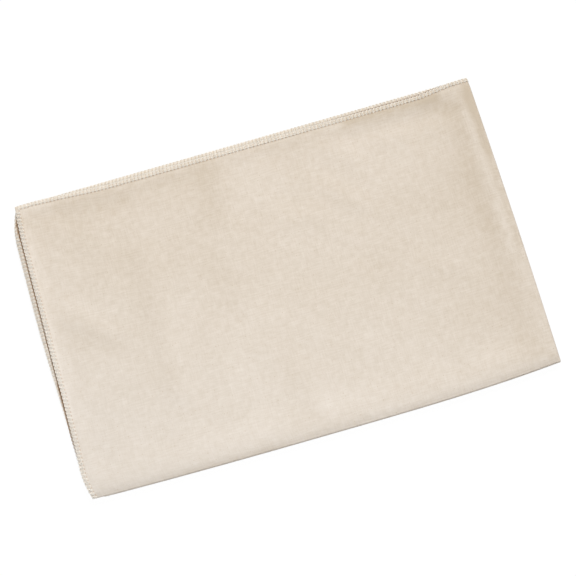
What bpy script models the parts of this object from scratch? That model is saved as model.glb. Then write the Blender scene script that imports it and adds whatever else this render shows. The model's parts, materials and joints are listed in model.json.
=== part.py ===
"""A bread basket liner: one oblong cotton cloth, overlocked on all four edges and folded in quarters.

The cloth is folded across its width first, with the crease along -Y, and then across its
length, with the crease at +X. That leaves four plies. The bottom and second plies make the
lower leaf, which lies on the table. The third and top plies make the upper leaf, which opens
like a book cover about an axis along Y, just outside the second crease.

Depth is counted inward from the outer face of each leaf: z is the depth on the lower leaf,
and the same depth is counted down from the top on the upper leaf. Each leaf is a U-shaped
section, outer ply, first fold and inner ply, that is swept along the leaf and then through a
quarter turn of the second fold. All lengths are in metres, with +Z up.
"""

import math
from dataclasses import dataclass

import bmesh
import bpy
from mathutils import Vector

# The flat cloth
flat_length = 0.800
flat_width = 0.508
cloth_thickness = 0.0009

# The overlock seam, which presses the cloth thinner along its edges
pressed_thickness = 0.0006
seam_width = 0.0036
needle_line_width = 0.0004
thread_thickness = 0.0002
ramp_width = 0.006

# Clearance between two pieces that touch on the real cloth
seat_gap = 0.0003

# How the plies lie on each other
upper_leaf_overhang = 0.0095
inner_fold_room = 0.00025
fold_bow = 0.0035
second_fold_bow = 0.0009
long_edge_peek = 0.0027
end_edge_peek = 0.0043
end_edge_recess = 0.0009
corner_draw = 0.004
corner_reach = 0.025
top_corner_draw = 0.0012
top_corner_reach = 0.045
# Insets from the long edge between which the end's peek grows, counted from outside the cloth
end_peek_rise = (-0.014, 0.036)

# Places along a leaf as shares of its length, counted from the second fold
long_edge_peek_shares = (0.02, 0.12, 0.78, 0.97)
# Places across a ply as shares of its width, counted from the first fold
end_edge_peek_shares = (0.20, 0.54)
# The shape of the first fold's bow, and how much fuller it is towards the second fold
fold_bow_power = 3
fold_bow_skew = 0.4

# How finely the forms are divided
field_rows = 6
field_columns = 12
first_fold_steps = 8
second_fold_steps = 6
seam_corner_steps = 3
bow_samples = 200

# Depths of the plies' middle surfaces, and the radii of the folds
half_seam = pressed_thickness / 2 + seat_gap + thread_thickness
ply_pitch = 2 * half_seam + seat_gap
outer_depth = cloth_thickness / 2
inner_depth = outer_depth + ply_pitch
seam_sink = half_seam - outer_depth
first_fold_radius = ply_pitch / 2
middle_height = inner_depth + seam_sink + half_seam + inner_fold_room
second_fold_radius = middle_height - outer_depth

# Straight lengths between the folds and the cut edges
straight_total = flat_length - math.pi * second_fold_radius
upper_straight = (straight_total + upper_leaf_overhang) / 2
lower_straight = (straight_total - upper_leaf_overhang) / 2
ply_width = (flat_width - math.pi * first_fold_radius) / 2

# The strip that the seam presses, and what the seam adds outside the cut edge
pressed_width = seam_width + needle_line_width + 2 * seat_gap
seam_zone = pressed_width + ramp_width
seam_overhang = seat_gap + thread_thickness
flange_offset = pressed_thickness / 2 + seat_gap + thread_thickness / 2
seam_corner_radius = seat_gap + thread_thickness / 2


def bow_out(share):
    """How far the first fold bows out, at a share of a leaf's length from the second fold."""
    place = min(2 * share - 1, 1.0)
    return fold_bow * (1 - abs(place) ** fold_bow_power) * (1 - fold_bow_skew * place)


# The folded size, with the origin in the middle of the underside
greatest_bow = max(bow_out(i / bow_samples) for i in range(bow_samples + 1))
overall_length = middle_height + upper_straight + end_edge_peek + seam_overhang
first_fold_reach = first_fold_radius + cloth_thickness / 2 + greatest_bow
overall_width = first_fold_reach + ply_width + seam_overhang
second_fold_x = overall_length / 2 - middle_height
long_edge_y = overall_width / 2 - seam_overhang
first_fold_y = long_edge_y - ply_width
book_fold_x = overall_length / 2 + seat_gap / 2

# Colours in linear light
cotton_colour = (0.767, 0.687, 0.584)
thread_colour = (0.838, 0.791, 0.708)
cotton_roughness = 0.92
thread_roughness = 0.78


@dataclass(frozen=True)
class Leaf:
    """Two plies joined by the first fold, up to the middle of the second fold."""

    name: str
    upper: bool
    straight: float


@dataclass(frozen=True)
class Row:
    """A line of cloth that runs lengthwise, placed by one of three measures.

    On a ply it lies at an inset from the long edge, or at a share of the plain field counted
    from the first fold. On the first fold it lies at a turn, from 0 at the outer ply to 1 at
    the inner ply. Its offset is its height off the cloth's middle on the face side.
    """

    ply: str
    inset: float = 0.0
    share: float = -1.0
    turn: float = -1.0
    offset: float = 0.0

    @property
    def pressed(self):
        """Whether the seam presses the cloth here."""
        return self.share < 0 and self.turn < 0


@dataclass(frozen=True)
class Column:
    """A line of cloth that runs crosswise, placed by one of three measures.

    It lies at an inset from the end edge, at a share of the plain field counted from the
    second fold, or at a turn of the second fold, from 0 at its start to 1 at its middle.
    """

    inset: float = 0.0
    share: float = -1.0
    turn: float = -1.0
    offset: float = 0.0

    @property
    def pressed(self):
        """Whether the seam presses the cloth here."""
        return self.share < 0 and self.turn < 0


lower_leaf = Leaf("lower_leaf", False, lower_straight)
upper_leaf = Leaf("upper_leaf", True, upper_straight)


def smooth_step(value, start, end):
    """Rises smoothly from 0 at start to 1 at end."""
    share = min(max((value - start) / (end - start), 0.0), 1.0)
    return share * share * (3 - 2 * share)


def first_fold_line(reach):
    """The y of the first fold's centre, at a distance from the second fold."""
    return first_fold_y - bow_out(reach / upper_straight)


def long_edge_line(ply, reach):
    """The y of a ply's long cut edge, at a distance from the second fold."""
    if ply == "inner":
        return long_edge_y
    fall_start, fall_end, rise_end, rise_start = long_edge_peek_shares
    share = reach / upper_straight
    peek = smooth_step(share, fall_start, fall_end) * smooth_step(-share, -rise_start, -rise_end)
    return long_edge_y - long_edge_peek * peek


def drawn_in(distance, draw, reach):
    """How far an end edge is drawn in, at a distance from a corner."""
    return draw * max(1 - distance / reach, 0.0) ** 2


def end_reach(leaf, row):
    """How far the leaf reaches past the second fold's start, on one row."""
    if row.turn >= 0:
        from_fold = 0.0
    elif row.share >= 0:
        from_fold = row.share * (ply_width - seam_zone)
    else:
        from_fold = ply_width - row.inset
    from_edge = ply_width - from_fold
    peek = smooth_step(from_fold / ply_width, *end_edge_peek_shares)
    reach = leaf.straight - drawn_in(from_fold, corner_draw, corner_reach)
    if leaf.upper and row.ply == "outer":
        return reach - drawn_in(from_edge, top_corner_draw, top_corner_reach) - end_edge_recess * peek
    reach -= drawn_in(from_edge, corner_draw, corner_reach)
    if leaf.upper and row.ply == "inner":
        reach += end_edge_peek * peek * smooth_step(from_edge, *end_peek_rise)
    return reach


def section_point(row, reach, sink, offset):
    """The y and the depth of a row in the U-shaped section, at a distance from the second fold."""
    fold_y = first_fold_line(reach)
    if row.ply == "fold":
        angle = math.pi * row.turn
        radius = first_fold_radius + offset
        centre_depth = outer_depth + sink + first_fold_radius
        return fold_y - radius * math.sin(angle), centre_depth - radius * math.cos(angle)
    edge_y = long_edge_line(row.ply, reach)
    y = fold_y + row.share * (edge_y - seam_zone - fold_y) if row.share >= 0 else edge_y - row.inset
    if row.ply == "outer":
        return y, outer_depth + sink - offset
    return y, inner_depth + sink + offset


def folded_point(leaf, row, column):
    """Where a point of the folded cloth, or of a thread on it, lies in space."""
    end = end_reach(leaf, row)
    if column.turn >= 0:
        reach = 0.0
    elif column.share >= 0:
        reach = column.share * (end - seam_zone)
    else:
        reach = end - column.inset
    sink = seam_sink if row.pressed or column.pressed else 0.0
    y, depth = section_point(row, reach, sink, row.offset + column.offset)
    if column.turn >= 0:
        radius = middle_height - depth
        angle = column.turn * math.acos(seat_gap / 2 / radius)
        x = second_fold_x + radius * math.sin(angle)
        z = middle_height - radius * math.cos(angle)
    else:
        x = second_fold_x - reach
        z = depth
    across = 2 * (y - long_edge_y) / ply_width + 1
    x -= second_fold_bow * across**2 * (1 - reach / end)
    if leaf.upper:
        z = 2 * middle_height - z
    return Vector((x, y, z))


def steps(count, start=0.0, end=1.0):
    """Evenly spaced shares from start to end, with both ends."""
    return [start + (end - start) * i / count for i in range(count + 1)]


def cloth_rows():
    """The rows of a leaf from the outer ply's long edge, round the first fold, to the inner ply's."""
    field = steps(field_rows)[1:]
    outer = [Row("outer", inset=0.0), Row("outer", inset=pressed_width)]
    outer += [Row("outer", share=share) for share in reversed(field)]
    fold = [Row("fold", turn=turn) for turn in steps(first_fold_steps)]
    inner = [Row("inner", share=share) for share in field]
    inner += [Row("inner", inset=pressed_width), Row("inner", inset=0.0)]
    return outer + fold + inner


def cloth_columns():
    """The columns of a leaf from its end edge to the middle of the second fold."""
    columns = [Column(inset=0.0), Column(inset=pressed_width)]
    columns += [Column(share=share) for share in reversed(steps(field_columns)[1:])]
    columns += [Column(turn=turn) for turn in steps(second_fold_steps)]
    return columns


def looper_profile(side):
    """Insets and offsets of a looper's cover: a flange on the cloth, rounded over the cut edge."""
    points = [(seam_width, flange_offset)]
    for turn in steps(seam_corner_steps):
        angle = turn * math.pi / 2
        inset = -seam_corner_radius * math.sin(angle)
        offset = pressed_thickness / 2 + seam_corner_radius * math.cos(angle)
        points.append((inset, offset))
    points.append((-seam_corner_radius, seat_gap / 2))
    return [(inset, side * offset) for inset, offset in points]


def needle_profile():
    """Insets and offsets of the needle thread, which lies just inside the loopers."""
    start = seam_width + seat_gap
    return [(start, flange_offset), (start + needle_line_width, flange_offset)]


def principled(name, colour, roughness):
    """A plain matt material."""
    material = bpy.data.materials.new(name)
    material.use_nodes = True
    shader = material.node_tree.nodes["Principled BSDF"]
    shader.inputs["Base Color"].default_value = (*colour, 1.0)
    shader.inputs["Roughness"].default_value = roughness
    shader.inputs["Metallic"].default_value = 0.0
    material.diffuse_color = (*colour, 1.0)
    return material


def folded_sheet(name, leaf, rows, columns, thickness, colour, roughness):
    """A sheet object laid through the folds of one leaf, thickened on both sides.

    A grid is made flat and each of its points is moved to its place on the folded cloth. A
    vertex group thins it where the seam presses the cloth, for sheets on the cloth's middle.
    """
    carrier = carriers[leaf.name]
    grid = bmesh.new()
    bmesh.ops.create_grid(grid, x_segments=len(columns) - 1, y_segments=len(rows) - 1, size=1)
    grid.verts.ensure_lookup_table()
    shares = []
    for vertex in grid.verts:
        row = rows[round((vertex.co.y + 1) / 2 * (len(rows) - 1))]
        column = columns[round((vertex.co.x + 1) / 2 * (len(columns) - 1))]
        vertex.co = folded_point(leaf, row, column) - carrier.location
        in_seam = row.pressed or column.pressed
        shares.append(pressed_thickness / cloth_thickness if in_seam else 1.0)
    mesh = bpy.data.meshes.new(name)
    grid.to_mesh(mesh)
    grid.free()
    mesh.shade_smooth()
    sheet = bpy.data.objects.new(name, mesh)
    liner.objects.link(sheet)
    sheet.parent = carrier
    mesh.materials.append(principled(name, colour, roughness))
    solidify = sheet.modifiers.new("thickness", "SOLIDIFY")
    solidify.thickness = thickness
    solidify.offset = 0.0
    solidify.use_even_offset = True
    if thickness == cloth_thickness:
        group = sheet.vertex_groups.new(name="thickness_share")
        for index, share in enumerate(shares):
            group.add([index], share, "REPLACE")
        solidify.vertex_group = group.name
    return sheet


def cloth(leaf):
    """One leaf of the cloth itself."""
    name = f"{leaf.name}_cloth"
    folded_sheet(name, leaf, cloth_rows(), cloth_columns(), cloth_thickness, cotton_colour, cotton_roughness)


def seam_threads(name, leaf, lay):
    """The three threads of an overlock seam, laid along an edge by a function of their profile."""
    profiles = {
        "upper_looper_thread": looper_profile(1),
        "lower_looper_thread": looper_profile(-1),
        "needle_thread": needle_profile(),
    }
    for thread, profile in profiles.items():
        rows, columns = lay(profile)
        full_name = f"{name}_{thread}"
        folded_sheet(full_name, leaf, rows, columns, thread_thickness, thread_colour, thread_roughness)


def long_edge_seam(name, leaf, ply):
    """The seam along one ply's long edge, from its corner to the middle of the second fold."""

    def lay(profile):
        return [Row(ply, inset=inset, offset=offset) for inset, offset in profile], cloth_columns()

    seam_threads(name, leaf, lay)


def end_edge_seam(name, leaf):
    """The seam along one leaf's end, from ply to ply round the first fold, between the long seams."""

    def lay(profile):
        return cloth_rows()[1:-1], [Column(inset=inset, offset=offset) for inset, offset in profile]

    seam_threads(name, leaf, lay)


def carrier_empty(name, location):
    """An empty that carries one leaf."""
    empty = bpy.data.objects.new(name, None)
    empty.location = location
    liner.objects.link(empty)
    return empty


for old in list(bpy.data.objects):
    bpy.data.objects.remove(old, do_unlink=True)

liner = bpy.data.collections.new("bread_basket_liner")
bpy.context.scene.collection.children.link(liner)
carriers = {
    "lower_leaf": carrier_empty("table_point", (0.0, 0.0, 0.0)),
    "upper_leaf": carrier_empty("book_fold_axis", (book_fold_x, 0.0, middle_height)),
}

cloth(lower_leaf)
cloth(upper_leaf)
long_edge_seam("bottom_ply", lower_leaf, "outer")
long_edge_seam("second_ply", lower_leaf, "inner")
long_edge_seam("third_ply", upper_leaf, "inner")
long_edge_seam("top_ply", upper_leaf, "outer")
end_edge_seam("lower_leaf_end", lower_leaf)
end_edge_seam("upper_leaf_end", upper_leaf)
bpy.context.view_layer.update()
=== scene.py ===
"""The looks of a folded bread basket liner: one cotton cloth and the twelve threads of its seams.

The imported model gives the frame. The cloth and each thread are laid through the same folds, so a
point of the flat cloth is known by three lengths. Across is counted from the middle of the first
fold, negative on the outer plies and positive on the inner ones. Along is counted from the middle
of the second fold, negative on the lower leaf and positive on the upper one. Height is counted
off the middle of the cloth, on its face side. All lengths are in metres, with +Z up.
"""

import json
import logging
import math
from dataclasses import dataclass, field
from enum import Enum
from typing import Any

import bpy
import numpy as np
from mathutils import Matrix, Vector


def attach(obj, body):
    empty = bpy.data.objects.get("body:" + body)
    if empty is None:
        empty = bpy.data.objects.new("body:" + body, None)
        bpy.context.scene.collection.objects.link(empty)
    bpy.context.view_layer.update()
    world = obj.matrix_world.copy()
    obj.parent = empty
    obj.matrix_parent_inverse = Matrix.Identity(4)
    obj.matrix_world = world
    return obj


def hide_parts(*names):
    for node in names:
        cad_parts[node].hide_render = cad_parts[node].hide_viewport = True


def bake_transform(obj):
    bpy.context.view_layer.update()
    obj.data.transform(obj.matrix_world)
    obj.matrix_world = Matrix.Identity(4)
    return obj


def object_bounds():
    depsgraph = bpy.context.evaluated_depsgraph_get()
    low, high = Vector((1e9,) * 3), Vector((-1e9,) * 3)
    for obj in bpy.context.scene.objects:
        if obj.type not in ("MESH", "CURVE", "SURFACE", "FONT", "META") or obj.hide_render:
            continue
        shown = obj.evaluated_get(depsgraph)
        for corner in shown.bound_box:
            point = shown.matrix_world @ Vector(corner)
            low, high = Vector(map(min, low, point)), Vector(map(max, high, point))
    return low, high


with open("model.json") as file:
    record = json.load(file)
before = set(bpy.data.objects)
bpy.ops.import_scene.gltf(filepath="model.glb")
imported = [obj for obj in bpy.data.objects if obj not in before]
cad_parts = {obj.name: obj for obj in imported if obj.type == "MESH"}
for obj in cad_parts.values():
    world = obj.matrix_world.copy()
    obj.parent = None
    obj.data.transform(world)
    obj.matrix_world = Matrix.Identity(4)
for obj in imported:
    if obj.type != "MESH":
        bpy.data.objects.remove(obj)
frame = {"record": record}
cad_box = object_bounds()

log = logging.getLogger("bread_basket_liner")

Array = np.ndarray


def rise(value: Array, start: float, end: float) -> Array:
    """Rise smoothly from 0 at start to 1 at end."""
    share = np.clip((value - start) / (end - start), 0, 1)
    return share * share * (3 - 2 * share)


def graded(stops: list[float], steps: list[float]) -> Array:
    """Space points between stops, each stretch at its own step.

    Args:
        stops: The places that a point must lie on, in order.
        steps: The greatest step of each stretch, one fewer than the stops.

    Returns:
        The places of all the points, in order.
    """
    places = [np.array(stops[:1])]
    for start, end, step in zip(stops[:-1], stops[1:], steps, strict=True):
        count = max(math.ceil(abs(end - start) / step), 1)
        places.append(np.linspace(start, end, count + 1)[1:])
    return np.concatenate(places)


@dataclass(frozen=True)
class SoftMark:
    """A soft line on the upper leaf, a crease or a mark of painted light and shade, fading out sideways and
    past its ends.
    """

    start: tuple[float, float]
    end: tuple[float, float]
    width: float
    amount: float

    def over(self, x: Array, y: Array) -> Array:
        """Spread the mark over the leaf.

        Args:
            x: Places along the folded liner.
            y: Places across it.

        Returns:
            The mark's amount at each place.
        """
        begin = np.array(self.start)
        way = np.array(self.end) - begin
        share = np.clip(((x - begin[0]) * way[0] + (y - begin[1]) * way[1]) / (way @ way), 0, 1)
        gap_squared = (x - begin[0] - share * way[0]) ** 2 + (y - begin[1] - share * way[1]) ** 2
        return self.amount * np.exp(-gap_squared / self.width**2)


def soft_marks(*rows: tuple[float, ...]) -> tuple[SoftMark, ...]:
    """List soft marks from rows of a start, an end, a width and an amount."""
    return tuple(SoftMark(row[:2], row[2:4], *row[4:]) for row in rows)


@dataclass(frozen=True)
class PlyPlaces:
    """Places on the plies: their leaf and ply, and their distances from its folds and cut edges."""

    upper: Array
    outer: Array
    from_fold: Array
    reach: Array
    edge_inset: Array
    end_inset: Array


@dataclass(frozen=True)
class LeafRelief:
    """How the upper leaf sinks between its hems and folds, the soft creases in it and the painted light and
    shade on it.
    """

    sag: float = 0.00055
    hem_hold: tuple[float, float] = (0.003, 0.016)
    second_fold_hold: float = 0.024
    first_fold_fall: float = 0.00095
    first_fold_reach: float = 0.018
    first_fold_round: float = 0.0005
    first_fold_round_reach: float = 0.006
    first_fold_hold: tuple[float, float] = (0.010, 0.034)
    greatest_depth: float = 0.0016
    inner_share: float = 0.45
    ripple_height: float = 0.00004
    ripple_lengths: tuple[float, ...] = (0.037, 0.052, 0.071, 0.029, 0.046, 0.063)
    ripple_turn: float = 2.4
    creases: tuple[SoftMark, ...] = soft_marks(
        # Soft waves in the middle of the leaf.
        (-0.174, 0.024, -0.148, 0.000, 0.009, 0.00060),
        (-0.103, 0.060, -0.105, -0.060, 0.010, 0.00055),
        (-0.025, 0.115, -0.028, 0.055, 0.012, 0.00045),
        (-0.008, 0.040, -0.008, -0.060, 0.005, 0.00018),
        (-0.008, -0.072, 0.000, -0.112, 0.009, 0.00045),
        (0.018, 0.052, 0.042, 0.050, 0.010, 0.00040),
        (0.061, 0.070, 0.080, 0.050, 0.008, 0.00036),
        (0.066, 0.105, 0.086, 0.090, 0.008, 0.00032),
        (0.120, 0.098, 0.135, 0.098, 0.008, 0.00025),
        (0.066, -0.012, 0.070, -0.040, 0.004, 0.00010),
        (0.108, -0.014, 0.148, -0.026, 0.006, 0.00020),
        (0.053, -0.066, 0.056, -0.066, 0.008, 0.00024),
        (0.124, -0.045, 0.124, -0.075, 0.005, 0.00009),
        # Ridges and dips along the second fold and the back hem.
        (0.1895, 0.112, 0.190, -0.020, 0.0045, 0.00030),
        (0.196, 0.110, 0.197, 0.040, 0.003, -0.00018),
        (0.160, 0.110, 0.163, -0.110, 0.018, -0.00045),
        (0.095, 0.106, 0.185, 0.104, 0.008, -0.00042),
        (-0.150, 0.103, -0.112, 0.103, 0.009, -0.00030),
    )
    # Marks of painted light and shade on the top ply's cotton, following its creases, hems and folds.
    painted_light_and_shade_marks: tuple[SoftMark, ...] = soft_marks(
        # Darker and paler bands of painted shade and light along the second fold.
        (0.181, 0.100, 0.182, -0.112, 0.010, -0.20),
        (0.168, 0.050, 0.163, -0.110, 0.018, -0.09),
        (0.178, 0.012, 0.181, -0.002, 0.009, -0.10),
        (0.192, 0.100, 0.1935, -0.025, 0.0035, 0.20),
        (0.1995, 0.120, 0.1995, 0.062, 0.004, -0.52),
        (0.1985, 0.122, 0.1985, 0.098, 0.005, -0.30),
        (0.200, 0.060, 0.200, -0.020, 0.003, -0.20),
        # Painted shade and light along the back hem.
        (0.166, 0.113, 0.186, 0.107, 0.010, -0.26),
        (0.094, 0.1208, 0.170, 0.1208, 0.0050, -0.50),
        (-0.1980, 0.1245, -0.1720, 0.1245, 0.0050, 0.34),
        (-0.1600, 0.1262, -0.1250, 0.1262, 0.0035, 0.20),
        (-0.150, 0.114, -0.108, 0.115, 0.012, -0.12),
        # Painted light along the hem at the end.
        (-0.1965, 0.105, -0.1965, -0.055, 0.0050, 0.30),
        (-0.1968, 0.006, -0.1968, -0.052, 0.0045, 0.20),
        (-0.1905, 0.105, -0.1895, 0.048, 0.0022, 0.16),
        (-0.1890, -0.006, -0.1870, -0.028, 0.0040, 0.14),
        # Painted shade and light on the roll of the first fold.
        (-0.100, -0.104, 0.140, -0.106, 0.012, 0.06),
        (0.006, -0.104, 0.012, -0.112, 0.005, 0.18),
        (-0.190, -0.1275, -0.030, -0.1290, 0.0035, -0.52),
        (0.045, -0.1215, 0.190, -0.1210, 0.0050, 0.18),
        # Painted shade and light over the soft waves in between.
        (-0.113, 0.060, -0.114, -0.045, 0.014, -0.10),
        (-0.178, 0.018, -0.167, 0.000, 0.010, -0.13),
        (-0.155, -0.003, -0.147, -0.010, 0.008, -0.10),
        (0.020, 0.082, 0.130, 0.088, 0.030, 0.18),
        (-0.012, -0.060, -0.013, -0.080, 0.008, -0.12),
        (-0.052, 0.070, -0.045, 0.020, 0.012, -0.10),
        (-0.034, 0.118, -0.040, 0.075, 0.010, -0.12),
        (-0.010, 0.116, -0.012, 0.078, 0.011, 0.10),
        (-0.148, 0.092, -0.120, 0.050, 0.022, -0.08),
    )

    def depth(self, x: Array, y: Array, places: PlyPlaces) -> Array:
        """Give how far the upper leaf lies below its highest level.

        Args:
            x: Places along the folded liner.
            y: Places across it.
            places: The same places on the plies.

        Returns:
            The depth, never less than 0.
        """
        held = rise(places.edge_inset, *self.hem_hold) * rise(places.end_inset, *self.hem_hold)
        held = held * rise(places.reach, 0, self.second_fold_hold)
        held = held * rise(places.from_fold, *self.first_fold_hold)
        lift = sum(crease.over(x, y) for crease in self.creases)
        for number, length in enumerate(self.ripple_lengths):
            bearing = number * self.ripple_turn
            phase = math.tau * (x * math.cos(bearing) + y * math.sin(bearing)) / length + bearing
            lift = lift + self.ripple_height * np.sin(phase)
        fall = np.maximum(1 - places.from_fold / self.first_fold_reach, 0) ** 3
        rounding = np.maximum(1 - places.from_fold / self.first_fold_round_reach, 0) ** 2
        depth = (self.sag - lift) * held + self.first_fold_fall * fall + self.first_fold_round * rounding
        return np.clip(depth, 0, self.greatest_depth)

    def tone(self, x: Array, y: Array) -> Array:
        """Give the painted light and shade at places on the upper leaf, from -1 to 1, lighter where
        positive.
        """
        return sum(mark.over(x, y) for mark in self.painted_light_and_shade_marks)


@dataclass(frozen=True)
class FoldedForm:
    """Sizes of the cloth and of its folds, and the way from the flat cloth to the folded one."""

    fold_axis_x: float
    middle_height: float
    long_edge_y: float
    fold_axis_gap: float = 0.00015
    flat_length: float = 0.800
    flat_width: float = 0.508
    cloth_thickness: float = 0.0009
    pressed_thickness: float = 0.0006
    ply_pitch: float = 0.0019
    upper_leaf_overhang: float = 0.0095
    seam_width: float = 0.0038
    seam_ramp: float = 0.004
    seam_rise: float = 0.00025
    needle_inset: float = 0.0030
    needle_groove: float = 0.00004
    needle_groove_width: float = 0.0008
    stitch_pitch: float = 0.0032
    fold_bow: float = 0.0035
    fold_bow_power: int = 3
    fold_bow_skew: float = 0.4
    second_fold_bow: float = 0.0009
    long_edge_peek: float = 0.0036
    long_edge_peek_shares: tuple[float, float, float, float] = (0.02, 0.12, 0.78, 0.97)
    end_edge_peek: float = 0.0043
    end_edge_peek_shares: tuple[float, float] = (0.06, 0.66)
    end_peek_rise: tuple[float, float] = (-0.014, 0.036)
    end_edge_recess: float = 0.0009
    end_slot_width: float = 0.0011
    corner_slot_width: float = 0.0017
    corner_slot_reach: tuple[float, float] = (0.014, 0.034)
    end_slot_reach: float = 0.004
    low_slot_reach: tuple[float, float, float, float] = (0.020, 0.040, 0.085, 0.115)
    low_recess: float = 0.0006
    low_slot_share: float = 0.45
    end_slot_rise: tuple[float, float] = (0.005, 0.011)
    long_slot_width: float = 0.0015
    long_slot_shares: tuple[float, float] = (0.14, 0.42)
    end_curl: float = 0.0012
    end_curl_width: float = 0.0012
    end_curl_fall_share: float = 0.6
    end_curl_fall_width: float = 0.0030
    end_lift: float = 0.0006
    end_lift_width: float = 0.008
    end_lift_rise: tuple[float, float] = (0.004, 0.022)
    long_edge_droop: float = 0.0003
    third_edge_droop: float = 0.0004
    long_droop_width: float = 0.0045
    corner_draw: float = 0.004
    corner_reach: float = 0.025
    top_corner_draw: float = 0.0012
    top_corner_reach: float = 0.045
    inner_bend_bulge: float = 0.0007
    free_height_drop: float = 0.00016
    relief: LeafRelief = field(default_factory=LeafRelief)

    @property
    def outer_depth(self) -> float:
        """Depth of an outer ply's middle below the outermost level of its leaf, which the seams reach."""
        return self.cloth_thickness / 2 + self.seam_rise

    @property
    def inner_depth(self) -> float:
        """Depth of an inner ply's middle below its leaf's outer face."""
        return self.outer_depth + self.ply_pitch

    @property
    def free_height(self) -> float:
        """Height between the seams of the second and the third ply, where nothing but the fold is."""
        return self.middle_height - self.free_height_drop

    @property
    def second_fold_x(self) -> float:
        """Where the straight plies end and the second fold begins."""
        return self.fold_axis_x - self.fold_axis_gap - self.middle_height

    @property
    def first_half_arc(self) -> float:
        """Length of cloth from the first fold's middle to a straight ply."""
        return math.pi * self.ply_pitch / 4

    @property
    def second_half_arc(self) -> float:
        """Length of cloth from the second fold's middle to the straight outer ply."""
        return math.pi * (self.middle_height - self.outer_depth) / 2

    @property
    def ply_width(self) -> float:
        """Straight width of a ply, from the first fold to its long edge."""
        return self.flat_width / 2 - self.first_half_arc

    @property
    def half_width(self) -> float:
        """Length of cloth from the first fold's middle to a long cut edge."""
        return self.ply_width + self.first_half_arc

    @property
    def first_fold_y(self) -> float:
        """Where the straight plies end and the first fold begins, at the corners."""
        return self.long_edge_y - self.ply_width

    @property
    def seam_zone(self) -> float:
        """Width of the strip that a seam presses, with the ramp up to the plain cloth."""
        return self.seam_width + self.seam_ramp

    def straight(self, upper: Array) -> Array:
        """Give the straight length of a leaf, from the second fold to its end."""
        both = self.flat_length / 2 - self.second_half_arc
        return both + np.where(upper, 1, -1) * self.upper_leaf_overhang / 2

    def leaf_length(self, upper: bool) -> float:
        """Give the length of cloth from the second fold's middle to a leaf's end."""
        return float(self.straight(upper)) + self.second_half_arc

    def places(self, across: Array, along: Array) -> PlyPlaces:
        """Find places of the flat cloth on the plies.

        Args:
            across: Places across the cloth.
            along: Places along it.

        Returns:
            The places on the plies. A fold counts as the end of its straight plies.
        """
        upper = along > 0
        from_fold = np.maximum(np.abs(across) - self.first_half_arc, 0)
        reach = np.maximum(np.abs(along) - self.second_half_arc, 0)
        edge_inset = self.ply_width - from_fold
        return PlyPlaces(upper, across < 0, from_fold, reach, edge_inset, self.straight(upper) - reach)

    def first_fold_line(self, reach: Array) -> Array:
        """Give the first fold's place, which bows out between the corners.

        Args:
            reach: Distances from the second fold.

        Returns:
            The y of the fold's centre.
        """
        from_middle = np.clip(2 * reach / self.straight(True) - 1, -1, 1)
        bow = self.fold_bow * (1 - np.abs(from_middle) ** self.fold_bow_power)
        return self.first_fold_y - bow * (1 - self.fold_bow_skew * from_middle)

    def long_edge_line(self, outer: Array, reach: Array) -> Array:
        """Give a long cut edge's place.

        Args:
            outer: Whether each place is on an outer ply, whose edge is drawn in.
            reach: Distances from the second fold.

        Returns:
            The y of the cut edge.
        """
        fall_start, fall_end, rise_end, rise_start = self.long_edge_peek_shares
        share = reach / self.straight(True)
        peek = rise(share, fall_start, fall_end) * rise(-share, -rise_start, -rise_end)
        return self.long_edge_y - np.where(outer, self.long_edge_peek * peek, 0)

    def end_shift(self, places: PlyPlaces) -> Array:
        """Give how far the leaves' ends lie beyond their straight lengths.

        Args:
            places: Places on the plies.

        Returns:
            The extra reach, negative near the corners.
        """
        fold_draw = self.corner_draw * np.maximum(1 - places.from_fold / self.corner_reach, 0) ** 2
        edge_draw = self.corner_draw * np.maximum(1 - places.edge_inset / self.corner_reach, 0) ** 2
        near_corner = np.maximum(1 - places.edge_inset / self.top_corner_reach, 0)
        top_draw = self.top_corner_draw * near_corner**2
        recess = self.end_edge_recess * self.high_stretch(places)
        recess = recess + self.low_recess * self.low_stretch(places)
        others = self.end_peek(places) - edge_draw
        return np.where(places.upper & places.outer, -top_draw - recess, others) - fold_draw

    def high_stretch(self, places: PlyPlaces) -> Array:
        """Give the share of the end's high stretch, where the third ply peeks out, from 0 to 1."""
        return rise(places.from_fold / self.ply_width, *self.end_edge_peek_shares)

    def low_stretch(self, places: PlyPlaces) -> Array:
        """Give the share of the end's low stretch, where the slot is a thin dark line, from 0 to 1."""
        start, full, fade, end = self.low_slot_reach
        return rise(places.from_fold, start, full) * (1 - rise(places.from_fold, fade, end))

    def end_peek(self, places: PlyPlaces) -> Array:
        """Give how far the third ply's end reaches out from under the top ply, 0 on the other plies."""
        peek = self.end_edge_peek * self.high_stretch(places) * rise(places.edge_inset, *self.end_peek_rise)
        return np.where(places.upper & ~places.outer, peek, 0)

    def groove(self, inset: Array) -> Array:
        """Give the depth that the needle thread draws in, at distances from a cut edge."""
        return self.needle_groove * np.exp(-(((inset - self.needle_inset) / self.needle_groove_width) ** 2))

    def lay(self, across: Array, along: Array, height: Array) -> Array:
        """Lay points of the flat cloth into the folded one.

        Args:
            across: Places across the cloth.
            along: Places along it.
            height: Heights off its middle, on its face side.

        Returns:
            The points, with x, y and z in the last axis.
        """
        across, along, height = np.broadcast_arrays(across, along, height)
        places = self.places(across, along)
        upper, from_fold = places.upper, places.from_fold
        length = self.straight(upper)
        reach = places.reach + self.end_shift(places) * rise(places.reach, 0, length - self.seam_zone)

        fold_y = self.first_fold_line(reach)
        stretch = self.long_edge_line(places.outer, reach) - fold_y - self.ply_width
        y = fold_y + from_fold + stretch * rise(from_fold, 0, self.ply_width - self.seam_zone)
        from_middle = 2 * (y - self.long_edge_y) / self.ply_width + 1
        x = self.second_fold_x - reach - self.second_fold_bow * from_middle**2 * (1 - places.reach / length)

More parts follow.
